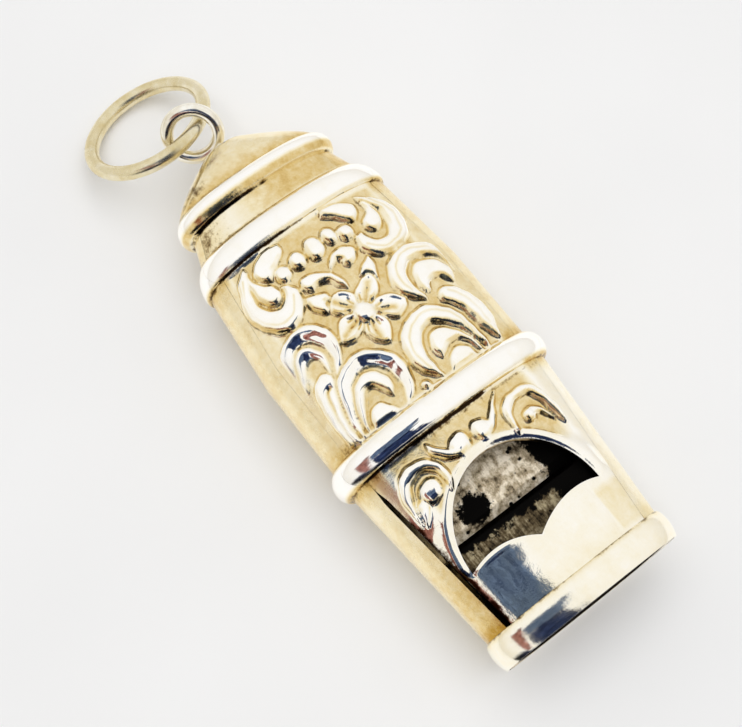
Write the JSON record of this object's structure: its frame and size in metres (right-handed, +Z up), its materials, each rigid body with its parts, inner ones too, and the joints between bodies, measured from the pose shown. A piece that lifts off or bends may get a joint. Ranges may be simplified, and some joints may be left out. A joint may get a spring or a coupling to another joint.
{
  "type": "pendant whistle",
  "caption": "Flattened silver pendant whistle with a domed cap, raised bands, a half-round sound window, a fixed bail and a loose jump ring to hang it from a chain.",
  "frame": {"origin": "on the resting plane, under the middle of the middle band, where the whistle's back lies on a table", "axes": "+X along the whistle towards its mouth, +Y across it, +Z up out of its ornamented front"},
  "size_m": [0.0524, 0.018, 0.0086],
  "materials": {
    "struck_silver": "polished struck silver with a yellow tarnish in its hollows",
    "dull_plate": "unpolished, oxidised grey and brown silver sheet",
    "silver_solder": "silver solder, slightly yellowed",
    "silver_wire": "drawn silver wire, worn smooth, faintly yellowed"
  },
  "bodies": {
    "whistle": {"front_shell": "struck_silver", "back_shell": "struck_silver", "mouth_rim": "struck_silver", "windway_floor": "dull_plate", "lip_plate": "dull_plate", "mouth_plate": "dull_plate", "bail_seat": "silver_solder", "bail_ring": "silver_wire"},
    "chain_ring": {"jump_ring": "silver_wire"}
  },
  "joints": [
    {"name": "ring_swing", "type": "hinge", "parent": "whistle", "child": "chain_ring", "pos_m": [-0.02809, -0.0009, 0.00518], "axis": [0.6863, -0.4184, 0.595], "range_deg": [-80, 30]}
  ]
}
